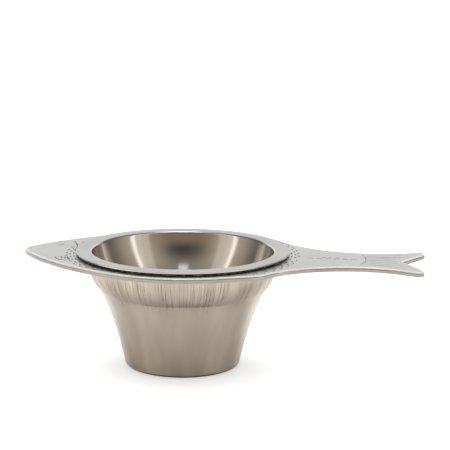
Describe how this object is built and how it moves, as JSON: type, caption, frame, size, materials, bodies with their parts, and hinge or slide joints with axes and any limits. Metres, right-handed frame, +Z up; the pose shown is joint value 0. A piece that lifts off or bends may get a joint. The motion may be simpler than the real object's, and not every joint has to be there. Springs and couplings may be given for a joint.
{
  "type": "tea strainer",
  "caption": "Fish-shaped steel tea strainer: a flanged bowl and a woven basket in a flat forked-tail plate, resting on a flared drip cup.",
  "frame": {"origin": "centre of the drip cup's foot, on the common axis of the cup, basket and bowl", "axes": "+X from the fish's head to its tail, +Z up along the cup's axis"},
  "size_m": [0.1504, 0.0848, 0.0439],
  "materials": {
    "cup_steel": "warm satin, drawn",
    "plate_steel": "fine satin, engraved",
    "woven_wire": "fine woven wire",
    "bowl_steel": "polished inside, satin flange"
  },
  "bodies": {
    "cup": {"drip_cup": "cup_steel"},
    "plate": {"fish_plate": "plate_steel"},
    "basket": {"mesh_basket": "woven_wire"},
    "bowl": {"strainer_bowl": "bowl_steel"}
  },
  "joints": [
    {"name": "plate_lift", "type": "slide", "parent": "cup", "child": "plate", "axis": [0, 0, 1], "range_m": [0, 0.045]},
    {"name": "basket_lift", "type": "slide", "parent": "plate", "child": "basket", "axis": [0, 0, 1], "range_m": [0, 0.035]},
    {"name": "bowl_lift", "type": "slide", "parent": "basket", "child": "bowl", "axis": [0, 0, 1], "range_m": [0, 0.035]}
  ]
}
